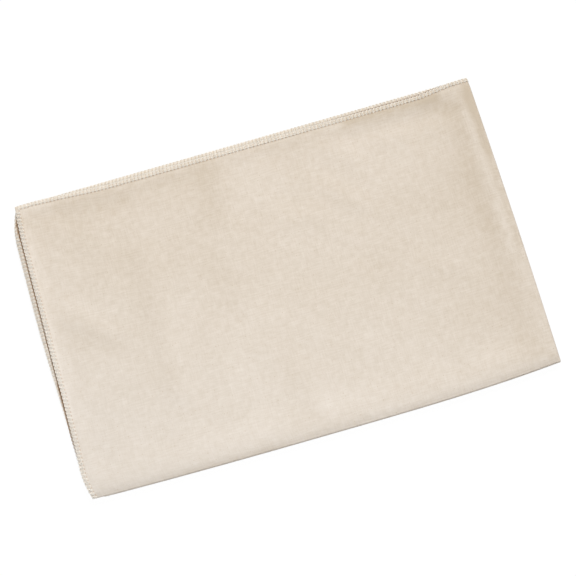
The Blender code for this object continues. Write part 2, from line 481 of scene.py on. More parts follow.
        turn = 1 - np.minimum(np.abs(along) / self.second_half_arc, 1)
        sink = np.maximum(self.groove(places.edge_inset), self.groove(places.end_inset))
        sink = sink + self.hem_fall(places)
        relief = self.relief.depth(x, y, places)
        relief = np.where(upper, relief * (1 - rise(turn, 0, 1)), 0)
        outer_depth = self.outer_depth + sink + relief
        inner_depth = self.inner_depth + sink + relief * self.relief.inner_share

        bend = np.sign(across) * np.minimum(np.abs(across) / self.first_half_arc, 1)
        angle = (1 + bend) * math.pi / 2
        radius = (inner_depth - outer_depth) / 2 + height
        depth = (outer_depth + inner_depth) / 2 - radius * np.cos(angle)
        y = y - radius * np.sin(angle)

        second_angle = turn * math.pi / 2
        inwardness = np.clip((depth - self.outer_depth) / self.ply_pitch, 0, 1)
        second_radius = self.middle_height - depth
        second_radius = second_radius + self.inner_bend_bulge * inwardness * np.sin(second_angle) ** 2
        x = x + second_radius * np.sin(second_angle)
        z = self.middle_height - second_radius * np.cos(second_angle)
        z = np.where(upper, 2 * self.middle_height - z, z)
        return np.stack([x, y, z], axis=-1)

    def hem_fall(self, places: PlyPlaces) -> Array:
        """Give how far the upper leaf's hems lie below their plies.

        Args:
            places: Places on the plies.

        Returns:
            The extra depth, negative where an end curls up, and 0 on the lower leaf.
        """
        near_edge = np.clip(1 - places.edge_inset / self.long_droop_width, 0, 1) ** 2
        droop = near_edge * np.where(places.outer, self.long_edge_droop, self.third_edge_droop)
        showing = self.end_peek(places)
        beyond_slot = showing - self.end_slot_width - places.end_inset
        curl = self.end_curl * rise(beyond_slot, -self.end_curl_width / 2, self.end_curl_width / 2)
        curl = curl * rise(showing, self.end_slot_width, self.end_edge_peek)
        curl = curl * (1 - self.end_curl_fall_share * rise(-places.end_inset, -self.end_curl_fall_width, 0))
        lift = self.end_lift * self.high_stretch(places) * rise(-places.end_inset, -self.end_lift_width, 0)
        lift = lift * rise(places.edge_inset, *self.end_lift_rise)
        return np.where(places.upper, droop - curl - np.where(places.outer, lift, 0), 0)

    def slot_band(self, inset: Array, start: Array, showing: Array) -> Array:
        """Give a slot's shade across its width, from its start to a little way under the top ply."""
        under = rise(-inset, -showing - self.end_slot_reach, -showing)
        return under * rise(inset, start, start + self.end_slot_width / 2)

    def slot_shade(self, across: Array, along: Array) -> Array:
        """Give the share of deep shade on the third ply's back, in the slots under the top ply's edges.

        Args:
            across: Places across the flat cloth.
            along: Places along it.

        Returns:
            The share, from 0 to 1.
        """
        places = self.places(across, along)
        showing = self.end_peek(places)
        corner = 1 - rise(places.edge_inset, *self.corner_slot_reach)
        wide = np.maximum(corner, self.low_slot_share * self.low_stretch(places))
        start = showing - self.end_slot_width - (self.corner_slot_width - self.end_slot_width) * wide
        shade = self.slot_band(places.end_inset, start, showing) * rise(showing, 0, self.end_slot_width / 2)
        shade = shade * rise(places.edge_inset, *self.end_slot_rise)

        showing = self.long_edge_line(False, places.reach) - self.long_edge_line(True, places.reach)
        fade_start, fade_end = self.long_slot_shares
        long_shade = self.slot_band(places.edge_inset, showing - self.long_slot_width, showing)
        long_shade = long_shade * rise(-places.reach / self.straight(True), -fade_end, -fade_start)
        return np.maximum(shade, np.where(places.upper & ~places.outer, long_shade, 0))

    def half_thickness(self, across: Array, along: Array) -> Array:
        """Give half the cloth's thickness, less where a seam presses it.

        Args:
            across: Places across the flat cloth.
            along: Places along it.

        Returns:
            The distance from the cloth's middle to either face.
        """
        places = self.places(across, along)
        share = rise(np.minimum(places.edge_inset, places.end_inset), self.seam_width, self.seam_zone)
        return (self.pressed_thickness + (self.cloth_thickness - self.pressed_thickness) * share) / 2


class Signal:
    """A shader value that takes part in sums written in Python."""

    def __init__(self, desk: "NodeDesk", socket: bpy.types.NodeSocket) -> None:
        """Wrap one output socket of the desk's node tree."""
        self.desk = desk
        self.socket = socket

    def math(self, operation: str, *values: "Signal | float") -> "Signal":
        """Add a Math node for an operation, with what goes into its sockets in order."""
        return self.desk.signal("ShaderNodeMath", {"operation": operation}, dict(enumerate(values)))

    def __add__(self, other: "Signal | float") -> "Signal":
        """Add."""
        return self.math("ADD", self, other)

    __radd__ = __add__

    def __mul__(self, other: "Signal | float") -> "Signal":
        """Multiply."""
        return self.math("MULTIPLY", self, other)

    __rmul__ = __mul__

    def __sub__(self, other: "Signal | float") -> "Signal":
        """Take the other away."""
        return self.math("SUBTRACT", self, other)

    def __rsub__(self, other: float) -> "Signal":
        """Take this away from a number."""
        return self.math("SUBTRACT", other, self)

    def __truediv__(self, other: "Signal | float") -> "Signal":
        """Divide."""
        return self.math("DIVIDE", self, other)

    def __abs__(self) -> "Signal":
        """Drop the sign."""
        return self.math("ABSOLUTE", self)

    def sine(self) -> "Signal":
        """Take the sine."""
        return self.math("SINE", self)

    def cosine(self) -> "Signal":
        """Take the cosine."""
        return self.math("COSINE", self)

    def larger(self, other: "Signal | float") -> "Signal":
        """Take the larger of two."""
        return self.math("MAXIMUM", self, other)

    def rise(self, start: float, end: float) -> "Signal":
        """Rise smoothly from 0 at start to 1 at end."""
        values = {"Value": self, "From Min": start, "From Max": end}
        return self.desk.signal("ShaderNodeMapRange", {"interpolation_type": "SMOOTHSTEP"}, values)

    def bump_at(self, centre: float, width: float) -> "Signal":
        """Rise to 1 at a centre and fall again over a width on both sides."""
        return 1 - abs(self - centre).rise(0.0, width)


@dataclass(frozen=True)
class NodeDesk:
    """Adds nodes to one node tree."""

    tree: bpy.types.NodeTree

    def node(
        self, kind: str, settings: dict[str, Any] | None = None, values: dict[Any, Any] | None = None
    ) -> bpy.types.Node:
        """Add a node.

        Args:
            kind: The node's type.
            settings: Its settings, which are set first.
            values: The numbers, colours or links that go into its sockets, by name, identifier or place.

        Returns:
            The node.
        """
        made = self.tree.nodes.new(kind)
        for name, value in (settings or {}).items():
            setattr(made, name, value)
        for key, value in (values or {}).items():
            self.feed(self.socket(made, key), value)
        return made

    def signal(self, kind: str, settings: dict[str, Any], values: dict[Any, Any]) -> Signal:
        """Add a node and take its first output as a value."""
        return Signal(self, self.node(kind, settings, values).outputs[0])

    def socket(self, node: bpy.types.Node, key: str | int) -> bpy.types.NodeSocket:
        """Find an input socket.

        Args:
            node: The node that has it.
            key: Its identifier, its name or its place.

        Returns:
            The socket.
        """
        if isinstance(key, int):
            return node.inputs[key]
        by_identifier = {socket.identifier: socket for socket in node.inputs}
        return by_identifier.get(key) or node.inputs[key]

    def feed(self, socket: bpy.types.NodeSocket, value: Any) -> None:
        """Put a number or colour into a socket, or link a signal or an output to it."""
        if isinstance(value, Signal):
            self.tree.links.new(value.socket, socket)
        elif isinstance(value, bpy.types.NodeSocket):
            self.tree.links.new(value, socket)
        else:
            socket.default_value = value

    def dress(self, name: str, values: dict[str, Any]) -> None:
        """Put numbers, colours or links into sockets of a node that is already there."""
        for key, value in values.items():
            self.feed(self.tree.nodes[name].inputs[key], value)

    def mix(self, factor: Signal | float, first: Any, second: Any) -> bpy.types.NodeSocket:
        """Mix two colours or links, with the factor as the second one's share."""
        values = {"Factor_Float": factor, "A_Color": first, "B_Color": second}
        return self.node("ShaderNodeMix", {"data_type": "RGBA"}, values).outputs[2]

    def map_values(self, name: str) -> tuple[Signal, Signal]:
        """Read a UV map.

        Args:
            name: The map's name.

        Returns:
            Its two values.
        """
        place = self.node("ShaderNodeUVMap", {"uv_map": name})
        parts = self.node("ShaderNodeSeparateXYZ", None, {"Vector": place.outputs["UV"]})
        return Signal(self, parts.outputs["X"]), Signal(self, parts.outputs["Y"])

    def noise(self, x: Signal, y: Signal | float, detail: float = 2.0, roughness: float = 0.5) -> Signal:
        """Add smooth noise, one cell to each unit of x and y.

        Args:
            x: The first place value.
            y: The second place value.
            detail: How many finer layers it has.
            roughness: How strong they are.

        Returns:
            The noise, about 0.5 on average.
        """
        vector = self.node("ShaderNodeCombineXYZ", None, {"X": x, "Y": y})
        values = {"Vector": vector.outputs[0], "Scale": 1.0, "Detail": detail, "Roughness": roughness}
        return self.signal("ShaderNodeTexNoise", {"noise_dimensions": "2D"}, values)

    def bump(self, relief: Signal) -> bpy.types.NodeSocket:
        """Turn a relief in metres into a bumped normal."""
        values = {"Strength": 1.0, "Distance": 1.0, "Height": relief}
        return self.node("ShaderNodeBump", None, values).outputs["Normal"]

    def seen_rays(self) -> Signal:
        """Give 1 for rays that the camera sends, also by mirrors and glass, and 0 for the others."""
        paths = self.node("ShaderNodeLightPath")
        kinds = ("Is Camera Ray", "Is Glossy Ray", "Is Transmission Ray")
        camera, glossy, transmission = (Signal(self, paths.outputs[kind]) for kind in kinds)
        return camera.larger(glossy).larger(transmission)


Colour = tuple[float, float, float, float]

WHITE: Colour = (1.0, 1.0, 1.0, 1.0)
NOISE_MIDDLE = 0.5
SHADER = "Principled BSDF"


def new_material(name: str) -> tuple[bpy.types.Material, NodeDesk]:
    """Start a material.

    Args:
        name: Its name.

    Returns:
        The material, and a desk for its nodes.
    """
    material = bpy.data.materials.new(name)
    material.use_nodes = True
    return material, NodeDesk(material.node_tree)


@dataclass(frozen=True)
class NoiseLayer:
    """Smooth noise over the flat cloth: the size of its cells and its weight in the tone."""

    length: float
    width: float
    weight: float = 0.0
    detail: float = 2.0
    roughness: float = 0.5

    def build(self, desk: NodeDesk, along: Signal, across: Signal) -> Signal:
        """Build the noise from the places along the cloth and across it."""
        return desk.noise(along / self.length, across / self.width, self.detail, self.roughness)


@dataclass(frozen=True)
class CottonFinish:
    """Unbleached plain-weave cotton with soft slubs, read from a map of the flat cloth in metres."""

    name: str = "unbleached_cotton"
    light: Colour = (0.868, 0.787, 0.699, 1.0)
    shade: Colour = (0.674, 0.576, 0.458, 1.0)
    fleck: Colour = (0.560, 0.440, 0.310, 1.0)
    # Painted cool light: a greyer, cooler colour toward the first fold and the leaves' ends, standing in
    # for cooler light from that side.
    painted_cool_light: Colour = (0.735, 0.740, 0.755, 1.0)
    # Painted shade in the needle holes along the seams.
    hole: Colour = (0.440, 0.250, 0.115, 1.0)
    # Painted shade in the slots under the top ply's edges.
    slot: Colour = (0.370, 0.220, 0.115, 1.0)
    warp_pitch: float = 0.00062
    weft_pitch: float = 0.00070
    warp_slub: NoiseLayer = NoiseLayer(0.011, 0.0011, 0.60)
    weft_slub: NoiseLayer = NoiseLayer(0.0011, 0.011, 0.48)
    mottle: NoiseLayer = NoiseLayer(0.0052, 0.0052, 0.53, 3.0, 0.45)
    patch: NoiseLayer = NoiseLayer(0.045, 0.045, 0.37)
    nap: NoiseLayer = NoiseLayer(0.00050, 0.00050, 0.44, 2.0, 0.7)
    specks: NoiseLayer = NoiseLayer(0.0013, 0.0013, detail=0.0)
    painted_cool_light_width: float = 0.254
    painted_cool_light_length: float = 0.400
    painted_cool_light_strength: float = 0.32
    painted_cool_light_share_at_middle: float = 0.35
    fleck_range: tuple[float, float] = (0.80, 0.90)
    fleck_strength: float = 0.5
    weave_height: float = 0.00009
    crossing_range: tuple[float, float] = (-0.5, 0.5)
    nap_height: float = 0.00006
    middle_tone: float = 0.5
    # Painted shade in the weave's hollows: the yarns' crowns lighter, the gaps between them darker.
    weave_shade_weight: float = 0.22
    middle_weave: float = 0.45
    least_relief: float = 0.75
    slub_relief: float = 0.5
    roughness: float = 0.92
    roughness_fall: float = 0.08
    specular: float = 0.25
    sheen: float = 0.12
    sheen_roughness: float = 0.5
    # Painted shade on the cloth between the seam's loops.
    seam_painted_shade: float = -0.09
    seam_width: float = 0.0042
    stitch_pitch: float = 0.0032
    needle_inset: float = 0.0030
    hole_inset: float = 0.0033
    hole_size: float = 0.0010
    hole_range: tuple[float, float] = (-0.2, 0.8)
    needle_hole_shade_strength: float = 0.36

    def make(self) -> bpy.types.Material:
        """Build the material.

        Returns:
            The material, ready for the cloth.
        """
        material, desk = new_material(self.name)
        along, across = desk.map_values("flat_cloth")
        inset, run = desk.map_values("seam_place")
        # The painted light and shade of the top ply, and the painted shade in the slots on the third ply's
        # back.
        cloth_tone, slot_shade = desk.map_values("cloth_tone")

        layers = (self.warp_slub, self.weft_slub, self.mottle, self.patch, self.nap)
        noises = [layer.build(desk, along, across) for layer in layers]
        warp_slub, _, mottle, _, nap = noises
        speck = self.specks.build(desk, along, across)
        weave = self.weave(along, across)
        # The cotton's own random tone, with painted shade in the weave's hollows and the painted light and
        # shade of the top ply.
        tone = cloth_tone + self.middle_tone + self.weave_shade_weight * (weave - self.middle_weave)
        for layer, noise in zip(layers, noises, strict=True):
            tone = tone + layer.weight * (noise - NOISE_MIDDLE)
        # Painted shade on the cloth between the seam's loops.
        tone = tone + self.seam_painted_shade * (1 - inset.rise(self.needle_inset, self.seam_width))
        # Painted shade in the needle holes, one dash at each stitch.
        hole = inset.bump_at(self.hole_inset, self.hole_size)
        hole = hole * (0 - (run * (math.tau / self.stitch_pitch)).cosine()).rise(*self.hole_range)
        colour = desk.mix(tone, self.shade, self.light)
        # Painted cool light, strongest near the first fold and the leaves' ends.
        from_middle = abs(along) * ((1 - self.painted_cool_light_share_at_middle) / self.painted_cool_light_length)
        painted_cool_light = (1 - abs(across) / self.painted_cool_light_width) * (from_middle + self.painted_cool_light_share_at_middle)
        colour = desk.mix(painted_cool_light * self.painted_cool_light_strength, colour, self.painted_cool_light)
        colour = desk.mix(speck.rise(*self.fleck_range) * self.fleck_strength, colour, self.fleck)
        colour = desk.mix(hole * self.needle_hole_shade_strength, colour, self.hole)
        relief = weave * (self.least_relief + self.slub_relief * warp_slub) * self.weave_height
        values = {
            "Base Color": desk.mix(slot_shade, colour, self.slot),
            "Normal": desk.bump(relief + nap * self.nap_height),
            "Roughness": self.roughness - self.roughness_fall * (1 - mottle),
            "Specular IOR Level": self.specular,
            "Sheen Weight": self.sheen,
            "Sheen Roughness": self.sheen_roughness,
        }
        desk.dress(SHADER, values)
        return material

    def weave(self, along: Signal, across: Signal) -> Signal:
        """Build the plain weave's height.

        Args:
            along: Places along the flat cloth.
            across: Places across it.

        Returns:
            The height, from 0 between the yarns to 1 on their crowns.
        """
        warp = (across * (math.pi / self.warp_pitch)).sine()
        weft = (along * (math.pi / self.weft_pitch)).sine()
        over = (warp * weft).rise(*self.crossing_range)
        return over * warp * warp + (1 - over) * weft * weft


@dataclass(frozen=True)
class ThreadFinish:
    """Spun overlock thread, read from a map of its turns and its length in metres."""

    name: str = "overlock_thread_yarn"
    light: Colour = (0.952, 0.917, 0.855, 1.0)
    shade: Colour = (0.800, 0.738, 0.648, 1.0)
    # Painted shade on the threads in the slots under the top ply's edges.
    slot: Colour = (0.370, 0.220, 0.115, 1.0)
    twist_pitch: float = 0.0011
    plies: int = 2
    twist_height: float = 0.00005
    fibre_size: float = 0.0002
    drift_length: float = 0.02
    noise_detail: float = 1.0
    middle_tone: float = 0.50
    strand_shade_weight: float = 0.45
    # Painted shade in the twist's grooves: the plies' crowns lighter.
    fibre_weight: float = 0.35
    drift_weight: float = 0.5
    roughness: float = 0.80
    roughness_fall: float = 0.1
    specular: float = 0.3
    sheen: float = 0.1

    def make(self) -> bpy.types.Material:
        """Build the material.

        Returns:
            The material, ready for the threads.
        """
        material, desk = new_material(self.name)
        turns, length = desk.map_values("thread_place")
        slot_shade, _ = desk.map_values("thread_shade")
        phase = (turns * self.plies + length / self.twist_pitch) * math.tau
        strand = 0.5 + 0.5 * phase.sine()
        fibre = desk.noise(turns * self.plies, length / self.fibre_size, self.noise_detail)
        drift = desk.noise(length / self.drift_length, 0.0, self.noise_detail)
        # The thread's own random tone, with painted shade in the twist's grooves.
        tone = self.middle_tone + self.strand_shade_weight * strand + self.fibre_weight * (fibre - NOISE_MIDDLE)
        tone = tone + self.drift_weight * (drift - NOISE_MIDDLE)
        colour = desk.mix(tone.rise(0.0, 1.0), self.shade, self.light)
        values = {
            "Base Color": desk.mix(slot_shade, colour, self.slot),
            "Normal": desk.bump(strand * self.twist_height),
            "Roughness": self.roughness - self.roughness_fall * strand,
            "Specular IOR Level": self.specular,
            "Sheen Weight": self.sheen,
        }
        desk.dress(SHADER, values)
        return material


@dataclass(frozen=True)
class FloorFinish:
    """A white floor with light of its own, which keeps a soft share of the liner's shadow."""

    name: str = "white_floor"
    own_light_share: float = 0.88
    own_light_strength: float = 1.08
    tone: Colour = (0.62, 0.62, 0.62, 1.0)

    def make(self) -> bpy.types.Material:
        """Build the material.

        Returns:
            The material, ready for the floor.
        """
        material, desk = new_material(self.name)
        desk.tree.nodes.remove(desk.tree.nodes[SHADER])
        paper = desk.node("ShaderNodeBsdfDiffuse", None, {"Color": self.tone})
        glow = desk.node("ShaderNodeEmission", None, {"Color": WHITE, "Strength": self.own_light_strength})
        values = {0: desk.seen_rays() * self.own_light_share, 1: paper.outputs[0], 2: glow.outputs[0]}
        mixed = desk.node("ShaderNodeMixShader", None, values)
        desk.dress("Material Output", {"Surface": mixed.outputs[0]})
        return material


@dataclass(frozen=True)
class MeshParts:
    """Points, faces and maps of a mesh before it becomes an object."""

    points: Array
    faces: list[tuple[int, ...]]
    maps: dict[str, Array]

    def make(self, name: str, material: bpy.types.Material) -> bpy.types.Object:
        """Make the object.

        Args:
            name: Its name.
            material: What it wears.

        Returns:
            The object, in the scene.
        """
        mesh = bpy.data.meshes.new(name)
        mesh.from_pydata(self.points.tolist(), [], self.faces)
        corners = np.zeros(len(mesh.loops), np.int32)
        mesh.loops.foreach_get("vertex_index", corners)
        for map_name, values in self.maps.items():
            layer = mesh.uv_layers.new(name=map_name)
            layer.uv.foreach_set("vector", values[corners].astype(np.float32).ravel())
        mesh.shade_smooth()
        mesh.materials.append(material)
        made = bpy.data.objects.new(name, mesh)
        bpy.context.scene.collection.objects.link(made)
        return made


def quads_between(index: Array, flipped: bool) -> list[tuple[int, ...]]:
    """List the faces of a grid.

    Args:
        index: The grid's vertex numbers.
        flipped: Whether the faces look the other way.

    Returns:
        The faces.
    """
    around = [index[:-1, :-1], index[1:, :-1], index[1:, 1:], index[:-1, 1:]]
    if flipped:
        around.reverse()
    return list(map(tuple, np.stack(around, -1).reshape(-1, 4).tolist()))


class Leaf(Enum):
    """The two leaves, by their body's name."""

    LOWER = "lower_leaf"
    UPPER = "upper_leaf"


@dataclass(frozen=True)
class BookFold:
    """The second fold's middle and a thin band round it, for the pieces that run through the fold."""

    middle: Vector
    half_band: float = 0.00011

    def bend(self, piece: bpy.types.Object) -> None:
        """Bake a piece's place into its mesh; the piece does not bend when the upper leaf opens."""
        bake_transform(piece)


@dataclass(frozen=True)
class Cloth:
    """The cotton cloth itself, one closed sheet through both folds."""

    form: FoldedForm
    fine_step: float = 0.0026
    coarse_step: float = 0.0062
    seam_step: float = 0.0008
    bend_step: float = 0.00028
    turn_step: float = 0.00010
    turn_reach: float = 0.0009
    edge_swell: float = 0.00018
    name: str = "cotton_cloth_sheet"

    def places_across(self) -> Array:
        """Space the rows, from the outer plies' long edge to the inner plies'."""
        form = self.form
        edge = form.half_width
        seam = edge - form.seam_zone
        near_fold = form.first_half_arc + form.seam_zone
        stops = [-edge, -seam, -near_fold, -form.first_half_arc, form.first_half_arc, near_fold, seam, edge]
        seam_step = self.seam_step
        fold_steps = [2 * seam_step, self.bend_step, 2 * seam_step]
        return graded(stops, [seam_step, self.fine_step, *fold_steps, self.coarse_step, seam_step])

    def places_along(self) -> Array:
        """Space the columns, from the lower leaf's end to the upper leaf's."""
        form = self.form
        arc = form.second_half_arc
        lower, upper = form.leaf_length(False), form.leaf_length(True)
        zone, turn = form.seam_zone, self.turn_reach
        stops = [-lower, zone - lower, -arc - zone, -arc, -turn, turn, arc, arc + zone, upper - zone, upper]
        seam_step = self.seam_step
        fold_steps = [2 * seam_step, 2 * self.bend_step, self.turn_step, 2 * self.bend_step, seam_step]
        return graded(stops, [seam_step, self.coarse_step, *fold_steps, self.fine_step, seam_step])

    def build(self, finish: CottonFinish) -> bpy.types.Object:
        """Build the sheet.

        Args:
            finish: What it wears.

        Returns:
            The sheet.
        """
        swell = self.edge_swell
        rows = self.places_across()
        columns = self.places_along()
        rows = np.concatenate([[rows[0] - swell], rows, [rows[-1] + swell]])
        columns = np.concatenate([[columns[0] - swell], columns, [columns[-1] + swell]])
        across, along = np.meshgrid(rows, columns, indexing="ij")
        height = self.form.half_thickness(across, along)
        rim = np.ones(across.shape, bool)
        rim[1:-1, 1:-1] = False
        face_index = np.arange(across.size).reshape(across.shape)
        back_index = face_index.copy()
        back_index[~rim] = across.size + np.arange((~rim).sum())
        face_points = self.form.lay(across, along, np.where(rim, 0, height))
        back_points = self.form.lay(across[~rim], along[~rim], -height[~rim])
        points = np.concatenate([face_points.reshape(-1, 3), back_points])
        faces = quads_between(face_index, False) + quads_between(back_index, True)

        def both_sides(face_values: Array, back_values: Array) -> Array:
            """Join a map's values on the face and on the back."""
            return np.concatenate([face_values.reshape(-1, 2), back_values[~rim]])

        flat = np.stack([along, across], -1)
        seam_place = self.seam_places(across, along)
        # The top ply carries the painted light and shade; the third ply's back carries the painted shade of
        # the slots.
        tone = self.form.relief.tone(face_points[..., 0], face_points[..., 1])
        tone = np.where((across < 0) & (along > 0), tone, 0)
        plain = np.zeros(tone.shape)
        shade = self.form.slot_shade(across, along)
        maps = {
            "flat_cloth": both_sides(flat, flat),
            "seam_place": both_sides(seam_place, seam_place),
            "cloth_tone": both_sides(np.stack([tone, plain], -1), np.stack([plain, shade], -1)),
        }
        return MeshParts(points, faces, maps).make(self.name, finish.make())

    def seam_places(self, across: Array, along: Array) -> Array:
        """Give each place's distance from the nearest cut edge, and its place from the edge's first stitch.

        Args:
            across: Places across the flat cloth.
            along: Places along it.

        Returns:
            The two lengths, in the last axis.
        """
        places = self.form.places(across, along)
        long_start = OverlockSeam(self.form, SeamEdge.FIRST_LONG).stitch_places()[0]
        end_start = OverlockSeam(self.form, SeamEdge.UPPER_END).stitch_places()[0]
        run = np.where(places.edge_inset < places.end_inset, along - long_start, across - end_start)
        return np.stack([np.minimum(places.edge_inset, places.end_inset), run], -1)


class SeamEdge(Enum):
    """The cloth's four cut edges, by the names of the pieces along them."""

    FIRST_LONG = "first_long_edge"
    SECOND_LONG = "second_long_edge"
    LOWER_END = "lower_leaf_end"
    UPPER_END = "upper_leaf_end"


class ThreadKind(Enum):
    """The three threads of an overlock seam."""

    UPPER_LOOPER = "upper_looper_thread"
    LOWER_LOOPER = "lower_looper_thread"
    NEEDLE = "needle_thread"


@dataclass(frozen=True)
class OverlockSeam:
    """A three-thread overlock seam along one cut edge.

    A stitch is a list of rows: inset from the cut edge, place along it and height off the cloth's middle.
    """

    form: FoldedForm
    edge: SeamEdge
    loop_half_width: float = 0.00050
    half_width: float = 0.00032
    half_height: float = 0.00020
    needle_half_width: float = 0.00016
    needle_hole_share: float = 0.05
    needle_shoulder_share: float = 0.18
    rim_height_share: float = 0.4
    rim_turn_height_share: float = 0.6
    tip_turn_share: float = 0.7
    tip_turn_height_share: float = 0.9
    tip_reach_share: float = 0.4
    tip_height_share: float = 0.85
    sides: int = 6

    @property
    def replaced_nodes(self) -> tuple[str, ...]:
        """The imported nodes' seam names that this seam stands for."""
        return {
            SeamEdge.FIRST_LONG: ("bottom_ply", "top_ply"),
            SeamEdge.SECOND_LONG: ("second_ply", "third_ply"),
            SeamEdge.LOWER_END: ("lower_leaf_end",),
            SeamEdge.UPPER_END: ("upper_leaf_end",),
        }[self.edge]

    @property
    def is_long(self) -> bool:
        """Whether the seam runs along a long edge, through the second fold."""
        return self.edge in (SeamEdge.FIRST_LONG, SeamEdge.SECOND_LONG)

    def ends(self) -> tuple[float, float]:
        """Give the first and last place along the edge that the stitches reach."""
        form = self.form
        if self.is_long:
            return self.half_width - form.leaf_length(False), form.leaf_length(True) - self.half_width
        half = form.half_width - form.seam_width - self.half_width
        return -half, half

    def stitch_places(self) -> Array:
        """Give the places along the edge where the needle went through."""
        first, last = self.ends()
        pitch = self.form.stitch_pitch
        count = math.floor((last - first) / pitch)
        return first + (last - first - (count - 1) * pitch) / 2 + pitch * np.arange(count)

    def flat_place(self, inset: Array, run: Array) -> tuple[Array, Array]:
        """Find places of the seam on the flat cloth.

        Args:
            inset: Distances from the cut edge.
            run: Places along it.

        Returns:
            The places across the cloth and along it.
        """
        if self.edge is SeamEdge.FIRST_LONG:
            return inset - self.form.half_width, run
        if self.edge is SeamEdge.SECOND_LONG:
            return self.form.half_width - inset, run
        upper = self.edge is SeamEdge.UPPER_END
        reach = self.form.leaf_length(upper) - inset
        return run, reach if upper else -reach

    def looper_stitch(self, side: int) -> Array:
        """Shape one stitch of a looper: along the rim, in to the needle thread and out again.

        Args:
            side: 1 on the cloth's face and -1 on its back.

        Returns:
            The stitch's rows.
        """
        on_cloth = self.form.pressed_thickness / 2 + self.half_height
        needle = self.form.needle_inset
        gap = self.loop_half_width
        rim = -self.half_width
        start = (rim, -self.form.stitch_pitch / 2, self.rim_height_share)
        way_out = [
            (needle, self.tip_turn_share * gap, self.tip_turn_height_share),
            (needle - gap, gap, 1.0),
            (needle / 2, gap, 1.0),
            (self.half_height, gap, 1.0),
            (rim, gap + self.half_width, self.rim_turn_height_share),
        ]
        way_in = [(inset, -run, height) for inset, run, height in way_out[::-1]]
        tip = (needle + self.tip_reach_share * gap, 0.0, self.tip_height_share)
        outline = [start, *way_in, tip, *way_out]
        return np.array(outline) * (1.0, 1.0, side * on_cloth)

    def needle_stitch(self) -> Array:
        """Shape one stitch of the needle thread: over the loopers, down through the hole and up again."""
        top = self.form.pressed_thickness / 2 + self.needle_half_width
        inset = self.form.needle_inset - self.loop_half_width
        pitch = self.form.stitch_pitch
        hole = self.needle_hole_share * pitch
        shoulder = self.needle_shoulder_share * pitch
        runs = (-pitch / 2, -shoulder, -hole, 0.0, hole, shoulder)
        heights = (top + self.half_height, top, 0.0, -top, 0.0, top)
        return np.array([(inset, run, height) for run, height in zip(runs, heights, strict=True)])

    def thread(self, kind: ThreadKind, finish: bpy.types.Material) -> bpy.types.Object:
        """Build one thread of the seam.

        Args:
            kind: Which thread.
            finish: What it wears.

        Returns:
            The thread.
        """
        if kind is ThreadKind.NEEDLE:
            stitch = self.needle_stitch()
            half_width = half_height = self.needle_half_width
        else:
            stitch = self.looper_stitch(1 if kind is ThreadKind.UPPER_LOOPER else -1)
            half_width, half_height = self.half_width, self.half_height
        places = self.stitch_places()
        along_edge = np.array((0.0, 1.0, 0.0))
        rows = (stitch + places[:, None, None] * along_edge).reshape(-1, 3)
        parts = self.tube(*rows.T, half_width, half_height)
        made = parts.make(f"{self.edge.value}_seam_{kind.value}", finish)
        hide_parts(*[f"{name}_{kind.value}" for name in self.replaced_nodes])
        return made

    def tube(
        self, inset: Array, run: Array, height: Array, half_width: float, half_height: float
    ) -> MeshParts:
        """Sweep a flattened round section along a path on the cloth.

        Args:
            inset: The path's distances from the cut edge.
            run: Its places along the edge.
            height: Its heights off the middle of the cloth.
            half_width: Half the section's width, level with the cloth.
            half_height: Half its height.

        Returns:
            The tube's mesh, closed at both ends.
        """
        across, along = self.flat_place(inset, run)
        path = self.form.lay(across, along, height)
        step = self.form.pressed_thickness
        up = self.form.lay(across, along, height + step) - self.form.lay(across, along, height - step)
        way = np.gradient(path, axis=0)
        way /= np.linalg.norm(way, axis=1, keepdims=True)
        side = np.cross(way, up)
        side /= np.linalg.norm(side, axis=1, keepdims=True)
        up = np.cross(side, way)
        turns = np.arange(self.sides) / self.sides
        lift = half_height * np.cos(math.tau * turns)
        spread = half_width * np.sin(math.tau * turns)
        rings = path[:, None] + up[:, None] * lift[:, None] + side[:, None] * spread[:, None]
        length = np.concatenate([[0], np.cumsum(np.linalg.norm(np.diff(path, axis=0), axis=1))])
        index = np.arange(len(path) * self.sides).reshape(len(path), self.sides)
        index = np.concatenate([index, index[:, :1]], 1)
        faces = quads_between(index, True)
        faces += [tuple(index[0, :-1].tolist()), tuple(index[-1, -2::-1].tolist())]
        mirrored = 1 - np.abs(2 * turns - 1)
        place = np.stack(np.broadcast_arrays(mirrored[None, :], length[:, None]), -1)
        shade = np.where(height < self.form.pressed_thickness / 2, self.form.slot_shade(across, along), 0)
        shade = np.stack(np.broadcast_arrays(shade[:, None], np.zeros((1, self.sides))), -1)
        maps = {"thread_place": place.reshape(-1, 2), "thread_shade": shade.reshape(-1, 2)}
        return MeshParts(rings.reshape(-1, 3), faces, maps)


@dataclass(frozen=True)
class Liner:
    """The folded liner: the cloth and its four seams."""

    form: FoldedForm
    fold: BookFold

    def build(self) -> None:
        """Build the pieces and dress them; the end seams' threads ride on their leaves."""
        cloth = Cloth(self.form).build(CottonFinish())
        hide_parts("lower_leaf_cloth", "upper_leaf_cloth")
        self.fold.bend(cloth)
        log.info("%s: %d faces", cloth.name, len(cloth.data.polygons))
        yarn = ThreadFinish().make()
        for edge in SeamEdge:
            seam = OverlockSeam(self.form, edge)
            for kind in ThreadKind:
                thread = seam.thread(kind, yarn)
                self.carry(thread, edge)
                log.info("%s: %d faces", thread.name, len(thread.data.polygons))

    def carry(self, thread: bpy.types.Object, edge: SeamEdge) -> None:
        """Let an end seam's thread ride on the leaf that carries it, and bake a long seam's thread in
        place.
        """
        if edge is SeamEdge.LOWER_END:
            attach(thread, Leaf.LOWER.value)
        elif edge is SeamEdge.UPPER_END:
            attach(thread, Leaf.UPPER.value)
        else:
            self.fold.bend(thread)


